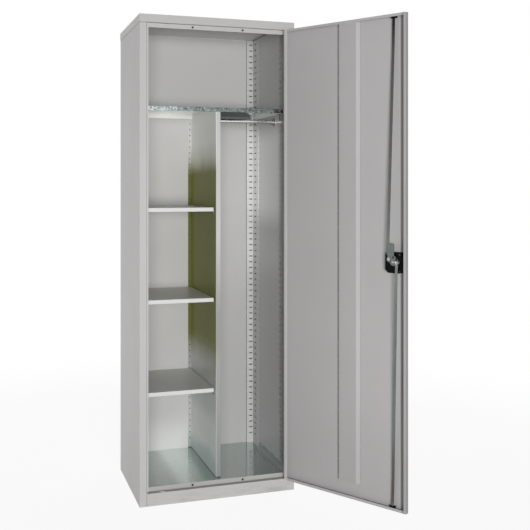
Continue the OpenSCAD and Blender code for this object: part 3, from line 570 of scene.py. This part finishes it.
# marks on the top shelf
FRONT_LIP = [(0.0, 1.0), (0.20, 0.95), (0.27, 0.60), (0.90, 0.52), (0.96, 0.55)]
# painted reflections on the shelf's underside, along its length
UNDERSIDE = [
    (0.0, (0.86, 0.86, 0.83)), (0.30, (0.97, 0.97, 0.94)), (0.47, (0.80, 0.80, 0.78)),
    (0.72, (0.80, 0.80, 0.78)), (0.85, (0.92, 0.92, 0.90)), (1.0, (0.85, 0.85, 0.83)),
]


def under_shelf_sheet(tree, y, z):
    """1 on all that lies behind the front lip and below the sheet's upper face."""
    behind_lip = step(tree, y, SHELF_LOW.y + 1.0 * MM, SHELF_LOW.y + 1.5 * MM)
    return both(tree, behind_lip, step(tree, z, SHELF_HIGH.z - 0.6 * MM, SHELF_HIGH.z - 1.0 * MM))


def on_side_lip(tree, x):
    """1 on the lip at the right end."""
    return step(tree, x, SHELF_HIGH.x - 4.0 * MM, SHELF_HIGH.x - 3.0 * MM)


def painted_dark_patch(tree, x, y):
    """A slanting patch to the right of the divider with a painted dark reflection, also dull."""
    drift = mapped(tree, y, 0.0, 0.147, start=-0.187, end=0.213)
    slanting = step(tree, maths(tree, "SUBTRACT", x, drift), 0.126, 0.112)
    return both(tree, step(tree, x, 2 * MM, 10 * MM), slanting)


def shelf_marks(tree, colour):
    """A paler left end in front, and an underside of painted reflections: darker in the middle, dark in a
    slanting patch, and a painted highlight at the right.
    """
    x, y, z = axes(tree, coords(tree))
    along = mapped(tree, x, 0.0, 1.0, start=-0.28, end=0.28)
    top = shade(tree, colour, 1.0, ramp(tree, along, FRONT_LIP))
    # painted highlight on the side lip and painted reflections under the sheet
    below = mix(tree, on_side_lip(tree, x), ramp(tree, along, UNDERSIDE), (0.97, 0.97, 0.96))
    # painted dark reflection in the slanting patch
    below = mix(tree, painted_dark_patch(tree, x, y), below, (0.25, 0.258, 0.262))
    return mix(tree, under_shelf_sheet(tree, y, z), top, below)


def shelf_gloss(tree, shader):
    """Smooth underneath, and dull in the dark patch, on the rear lip and on the side lip."""
    x, y, z = axes(tree, coords(tree))
    under = under_shelf_sheet(tree, y, z)
    behind = step(tree, y, SHELF_HIGH.y - 2.1 * MM, SHELF_HIGH.y - 1.7 * MM)
    rear_lip = both(tree, step(tree, x, 4 * MM, -4 * MM), behind)
    dull_sheet = both(tree, under, either(tree, painted_dark_patch(tree, x, y), on_side_lip(tree, x)))
    dull = either(tree, dull_sheet, rear_lip)
    feed(tree, shader.inputs["Metallic"], blend(tree, dull, 1.0, 0.0))
    feed(tree, shader.inputs["Specular IOR Level"], blend(tree, dull, 0.5, 0.0))
    spangled = shader.inputs["Roughness"].links[0].from_socket
    feed(tree, shader.inputs["Roughness"], blend(tree, under, spangled, 0.22))
    links = shader.inputs["Normal"].links
    while links:
        bumps = links[0].from_node
        strength = bumps.inputs["Strength"]
        feed(tree, strength, blend(tree, under, strength.default_value, 0.0))
        links = bumps.inputs["Normal"].links


def pan_marks(tree, colour):
    """Painted reflections, brightest in the middle of the left side and darker at the right, with painted
    shade on the raised edges.
    """
    x, _, z = axes(tree, coords(tree))
    # painted reflections on the pan
    colour = shade(tree, colour, step(tree, x, -0.125, -0.175), 0.82)
    colour = shade(tree, colour, band(tree, x, -0.145, -0.035, 0.025), 1.20)
    colour = shade(tree, colour, step(tree, x, -0.01, 0.01), 0.88)
    # painted shade on the raised edges
    return shade(tree, colour, step(tree, z, PAN_LOW.z + 1.5 * MM, PAN_LOW.z + 3.0 * MM), 0.62)


# paint: copies of one grey powder coat; the paler copies for the stops and linings inside are painted light
FRONT = painted("paint_frame", (0.508, 0.499, 0.487), rough=0.45, marks=frame_marks)
SIDE = painted("paint_side", (0.505, 0.495, 0.492), rough=0.48, marks=side_marks)
DOOR = painted("paint_door", (0.500, 0.490, 0.489), rough=0.46, marks=door_marks)
STIFFENER = painted("paint_stiffener", (0.478, 0.469, 0.468), rough=0.46, marks=stiffener_marks)
WELDS = painted("paint_welds", (0.470, 0.460, 0.459), rough=0.46)
BACK = painted("paint_back", (0.525, 0.520, 0.512), rough=0.45, marks=back_marks)
# the same paint made paler for the stops and linings: painted light
STOP = painted("paint_stop", (0.56, 0.55, 0.54), rough=0.40, marks=stop_marks)
INNER = painted("paint_inside", (0.56, 0.56, 0.555), rough=0.36, marks=inner_marks)
WALL = painted("paint_wall", (0.56, 0.56, 0.560), rough=0.30, marks=wall_marks, gloss=wall_gloss)
SHELF = painted("paint_shelf", (0.70, 0.70, 0.69), rough=0.38, spread=0.012)

# galvanised sheet
GALVANISED_SHELF = galvanised(
    "galvanised_shelf", (0.110, 0.135, 0.135), (0.36, 0.41, 0.41), rough=0.24, cell=170.0,
    wave=0.02, marks=shelf_marks, gloss=shelf_gloss)
GALVANISED_FLOOR = galvanised(
    "galvanised_floor", (0.54, 0.60, 0.58), (0.59, 0.65, 0.63), rough=0.12, cell=70.0,
    contrast=0.25, wave=0.03, marks=pan_marks)
GALVANISED_DIVIDER = galvanised(
    "galvanised_divider", (0.40, 0.41, 0.39), (0.44, 0.45, 0.43), rough=0.34, cell=60.0,
    metal=0.0, stretch=(1.0, 1.0, 0.06), contrast=0.3, wave=0.04, marks=divider_marks, gloss=divider_gloss)
GALVANISED_BASE = galvanised(
    "galvanised_base", (0.42, 0.45, 0.46), (0.62, 0.65, 0.66), rough=0.35, cell=70.0)

# zinc plating, with the rods' tones by height, which are painted reflections and painted shade
UPPER_TONES = [
    (0.92, (0.17, 0.185, 0.18)), (1.15, (0.125, 0.130, 0.125)), (1.45, (0.105, 0.110, 0.103)),
    (1.66, (0.085, 0.085, 0.080)), (1.76, (0.030, 0.028, 0.026)), (1.80, (0.012, 0.012, 0.011)),
]
LOWER_TONES = [
    (0.04, (0.20, 0.22, 0.22)), (0.075, (0.12, 0.115, 0.105)), (0.11, (0.110, 0.093, 0.083)),
    (0.25, (0.140, 0.128, 0.118)), (0.33, (0.170, 0.205, 0.200)), (0.55, (0.150, 0.185, 0.180)),
    (0.76, (0.170, 0.190, 0.180)), (0.93, (0.20, 0.22, 0.205)),
]
WHITE = (1.0, 1.0, 1.0)
UPPER = zinc("zinc_upper_rod", WHITE, rough=0.40, tones=UPPER_TONES)
LOWER = zinc("zinc_lower_rod", WHITE, rough=0.40, tones=LOWER_TONES)
ZINC_LOCK = zinc("zinc_lock", (0.135, 0.155, 0.145), rough=0.34)
ZINC_PIN = zinc("zinc_pins", (0.44, 0.46, 0.445), rough=0.20)
ZINC_BRIGHT = zinc("zinc_bright", (0.50, 0.51, 0.50), rough=0.28)
ZINC_RAIL = zinc("zinc_rail", (0.60, 0.60, 0.595), rough=0.24)
SOCKET = zinc("zinc_sockets", (0.50, 0.50, 0.49), rough=0.36)
CLIP = zinc("zinc_clips", (0.22, 0.23, 0.22), rough=0.44)
SCREW = zinc("zinc_screws", (0.10, 0.10, 0.10), rough=0.40)

# plastic and rubber
BLACK = plastic("black_plastic", (0.0022, 0.0022, 0.0022), rough=0.50, specular=0.07)
GRIP = plastic("black_grip", (0.008, 0.008, 0.009), rough=0.30, grain=700.0)
RUBBER = plastic("black_rubber", (0.010, 0.010, 0.011), rough=0.72, grain=500.0, specular=0.3)

# what each node is made of
HINGE_LEAVES = " ".join(
    f"hinge_{side}_leaf_{place}" for side in ("frame", "door") for place in ("top", "middle", "bottom"))
LOOKS = [
    (FRONT, "top_cap plinth_front top_front_rail bottom_front_rail " + HINGE_LEAVES),
    (SIDE, "left_side_panel right_side_panel"),
    (BACK, "back_panel"),
    (DOOR, "door_skin"),
    (STIFFENER, "door_stiffener"),
    (STOP, "left_door_stop right_door_stop"),
    (INNER, "left_inner_panel left_rear_upright"),
    (WALL, "right_inner_panel right_rear_upright"),
    (SHELF, "shelf_upper shelf_middle shelf_lower"),
    (GALVANISED_SHELF, "top_shelf"),
    (GALVANISED_FLOOR, "floor_pan"),
    (GALVANISED_DIVIDER, "divider"),
    (GALVANISED_BASE, "base_channel base_rear_rail"),
    (CLIP, "top_shelf_clips shelf_upper_clips shelf_middle_clips shelf_lower_clips"),
    (CLIP, "back_rivets rail_socket_screws"),
    (SCREW, "housing_screws"),
    (ZINC_BRIGHT, "lock_barrel hinge_pin_top hinge_pin_middle hinge_pin_bottom"),
    (ZINC_PIN, "cam_nut handle_spindle crank_pins"),
    (ZINC_RAIL, "hanging_rail"),
    (SOCKET, "rail_socket_left rail_socket_right"),
    (ZINC_LOCK, "cam_plate upper_link"),
    (UPPER, "upper_rod"),
    (LOWER, "lower_rod"),
    (BLACK, "handle_housing upper_rod_guide lower_rod_guide"),
    (GRIP, "handle_grip"),
    (RUBBER, "door_buffers"),
]
for material, names in LOOKS:
    for name in names.split():
        for slot in NODES[name].material_slots:
            slot.material = material

# edges: how far each node's are rounded, with the faces shaded evenly between them
SHEET_EDGE = 0.3 * MM
EDGES = {
    "top_cap": 0.45 * MM, "plinth_front": 0.4 * MM, "handle_housing": 0.7 * MM, "handle_grip": 1.8 * MM,
    "upper_rod_guide": 1.2 * MM, "lower_rod_guide": 1.2 * MM, "lock_barrel": 0.5 * MM,
}


def round_edges(target, width):
    """Rounds the edges sharper than 40 degrees."""
    bevel = target.modifiers.new("bevel", "BEVEL")
    bevel.width = width
    bevel.segments = 2
    bevel.limit_method = "ANGLE"
    bevel.angle_limit = math.radians(40)


for name, target in NODES.items():
    target.modifiers.new("weld", "WELD").merge_threshold = 0.01 * MM
    round_edges(target, EDGES.get(name, SHEET_EDGE))
    even = target.modifiers.new("even", "WEIGHTED_NORMAL")
    even.mode = "FACE_AREA"
    even.weight = 100


# mesh helpers
def mesh_object(name, bm, material, smooth=True):
    """Turns a bmesh into an object of one material, and frees it."""
    mesh = bpy.data.meshes.new(name)
    bmesh.ops.recalc_face_normals(bm, faces=bm.faces)
    bm.to_mesh(mesh)
    bm.free()
    mesh.materials.append(material)
    for face in mesh.polygons:
        face.use_smooth = smooth
    made = bpy.data.objects.new(name, mesh)
    SCENE.collection.objects.link(made)
    return made


def on_inside_of_door(x, y, z):
    """A place on the door, given in the closed door, with its own Z pointing into the locker."""
    return DOOR_AT @ Matrix.Translation((x, y, z)) @ Matrix.Rotation(math.radians(-90), 4, "X")


def lathe(bm, place, profile, around):
    """Turns (radius, height) pairs about place's Z."""
    turns = [2 * math.pi * k / around for k in range(around)]
    rings = []
    for radius, height in profile:
        angles = turns if radius else turns[:1]
        ring = [(radius * math.cos(angle), radius * math.sin(angle), height) for angle in angles]
        rings.append([bm.verts.new(place @ Vector(point)) for point in ring])
    for below, above in zip(rings, rings[1:]):
        for k in range(around):
            after = (k + 1) % around
            corners = [below[k % len(below)], below[after % len(below)],
                       above[after % len(above)], above[k % len(above)]]
            bm.faces.new(list(dict.fromkeys(corners)))


# spot welds along both feet of the stiffener, dimples with a raised rim
WELD = [
    (0, 0.08 * MM), (1.3 * MM, 0.10 * MM), (2.1 * MM, 0.24 * MM), (2.8 * MM, 0.24 * MM),
    (3.4 * MM, 0.06 * MM), (3.6 * MM, -0.10 * MM),
]
WELD_COUNT = 28
WELD_PITCH = 61.2 * MM
WELD_START = 14 * MM
WELD_INSET = 4 * MM
FOOT_THICKNESS = 1 * MM


def stiffener_welds():
    """One row of welds along each foot, on the face that looks into the locker."""
    bm = bmesh.new()
    for foot in (STIFFENER_LOW.x + WELD_INSET, STIFFENER_HIGH.x - WELD_INSET):
        for k in range(WELD_COUNT):
            height = STIFFENER_LOW.z + WELD_START + k * WELD_PITCH
            lathe(bm, on_inside_of_door(foot, STIFFENER_LOW.y + FOOT_THICKNESS, height), WELD, around=20)
    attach(mesh_object("stiffener_welds", bm, WELDS), "door")


stiffener_welds()

# turned ends of the crank pins, each with a groove that holds a clip
PIN_END = [
    (0, 2.1 * MM), (1.6 * MM, 2.1 * MM), (2.2 * MM, 1.8 * MM), (2.4 * MM, 1.4 * MM),
    (2.2 * MM, 1.2 * MM), (2.2 * MM, 0.4 * MM), (2.4 * MM, 0.3 * MM), (2.4 * MM, -0.2 * MM),
]
PIN_JOINTS = ("upper_rod_pivot", "lower_rod_pivot")
CLIP_LOW, CLIP_HIGH = 0.5 * MM, 1.1 * MM
CLIP_OUTER, CLIP_INNER, CLIP_TOOTH = 4.7 * MM, 3.4 * MM, 2.3 * MM
CLIP_STEPS = 40
CLIP_STEP = 7
CLIP_START = 40
TEETH = (2, 20, 38)
TOOTH_REACH = 3
CLIP_TURN = 20


def pin_places():
    """Where the crank pins' heads end on the door."""
    shut = DOOR_AT.inverted()
    for name in PIN_JOINTS:
        pivot = shut @ Vector(JOINTS[name]["pos_m"])
        yield on_inside_of_door(pivot.x, PINS_HIGH.y, pivot.z)


def retaining_clip(bm, place):
    """An E-clip: an open ring with three inner teeth."""
    outer, inner = [], []
    for k in range(CLIP_STEPS + 1):
        angle = math.radians(CLIP_START + CLIP_STEP * k)
        on_tooth = min(abs(k - tooth) for tooth in TEETH) <= TOOTH_REACH
        for line, radius in ((outer, CLIP_OUTER), (inner, CLIP_TOOTH if on_tooth else CLIP_INNER)):
            line.append((radius * math.cos(angle), radius * math.sin(angle)))
    outline = outer + inner[::-1]
    faces = [[bm.verts.new(place @ Vector((x, y, height))) for x, y in outline]
             for height in (CLIP_LOW, CLIP_HIGH)]
    last = len(outline) - 1
    for k in range(CLIP_STEPS):
        for face in faces:
            bm.faces.new([face[k], face[k + 1], face[last - k - 1], face[last - k]])
    for k in range(len(outline)):
        after = (k + 1) % len(outline)
        bm.faces.new([faces[0][k], faces[0][after], faces[1][after], faces[1][k]])


def crank_pin_ends():
    """A turned end on each pin's head."""
    bm = bmesh.new()
    for place in pin_places():
        lathe(bm, place, PIN_END, around=28)
    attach(mesh_object("crank_pin_ends", bm, ZINC_PIN), "handle")


def crank_pin_clips():
    """The second clip is turned round, so that the two open away from each other."""
    bm = bmesh.new()
    for k, place in enumerate(pin_places()):
        retaining_clip(bm, place @ Matrix.Rotation(math.radians(CLIP_TURN + 180 * k), 4, "Z"))
    clips = mesh_object("crank_pin_clips", bm, ZINC_BRIGHT, smooth=False)
    edge = clips.modifiers.new("bevel", "BEVEL")
    edge.width = 0.12 * MM
    edge.segments = 2
    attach(clips, "handle")


crank_pin_ends()
crank_pin_clips()

# floor, world and lights
FLOOR_HALF = 3.0
FLOOR_DROP = 0.5 * MM
FLOOR_GLOW = 0.91
FADE_START, FADE_END = 1.3, 2.8
WORLD_LIGHT = 0.16


def looked_at(tree):
    """1 for a ray from the camera or by way of metal or glass, and 0 for one that lights the object."""
    path = node(tree, "LightPath")
    mirrored = either(tree, path.outputs["Is Glossy Ray"], path.outputs["Is Transmission Ray"])
    return either(tree, path.outputs["Is Camera Ray"], mirrored)


def floor_material():
    """Near white where it is looked at, with the object's shadow, and clear towards the floor's edge."""
    material = bpy.data.materials.new("studio_floor")
    tree, surface = fresh_tree(material, "OutputMaterial")
    shadowed = node(tree, "BsdfDiffuse", {"Color": (0.80, 0.80, 0.80)})
    glowing = node(tree, "Emission", {"Color": WHITE, "Strength": 1.0})
    share = both(tree, looked_at(tree), FLOOR_GLOW)
    lit = mix_shaders(tree, share, shadowed, glowing)
    radius = node(tree, "VectorMath", {0: coords(tree)}, operation="LENGTH").outputs["Value"]
    clear = node(tree, "BsdfTransparent")
    faded = mix_shaders(tree, step(tree, radius, FADE_START, FADE_END), lit, clear)
    feed(tree, surface, faded.outputs[0])
    return material


def studio_world():
    """White where it is looked at, and a dim light on the object."""
    world = bpy.data.worlds.new("studio")
    tree, surface = fresh_tree(world, "OutputWorld")
    light = node(tree, "Background", {"Color": WHITE, "Strength": WORLD_LIGHT})
    backdrop = node(tree, "Background", {"Color": WHITE, "Strength": 1.0})
    feed(tree, surface, mix_shaders(tree, looked_at(tree), light, backdrop).outputs[0])
    return world


def soft_box(name, place, target, side, power):
    """A square lamp that faces its target."""
    lamp = bpy.data.lights.new(name, "AREA")
    lamp.shape = "SQUARE"
    lamp.size = side
    lamp.energy = power
    stand = bpy.data.objects.new(name, lamp)
    stand.location = place
    stand.rotation_mode = "QUATERNION"
    stand.rotation_quaternion = (Vector(target) - Vector(place)).to_track_quat("-Z", "Y")
    SCENE.collection.objects.link(stand)


grid = bmesh.new()
bmesh.ops.create_grid(grid, x_segments=8, y_segments=8, size=FLOOR_HALF)
floor = mesh_object("studio_floor", grid, floor_material(), smooth=False)
floor.location = (0, 0, -FLOOR_DROP)
SCENE.world = studio_world()

# two soft boxes near the camera, one on the left for the side and one behind on the right for the back
soft_box("box_left_of_camera", (-1.6, -6.2, 1.25), (0.0, 0.0, 0.95), side=1.2, power=125)
soft_box("box_right_of_camera", (-0.4, -6.5, 0.9), (0.0, 0.0, 0.95), side=1.2, power=160)
soft_box("box_side", (-3.4, 1.8, 0.9), (0.0, 0.0, 0.9), side=2.5, power=53)
soft_box("box_back", (3.0, 3.2, 2.2), (0.0, 0.0, 0.95), side=2.5, power=95)
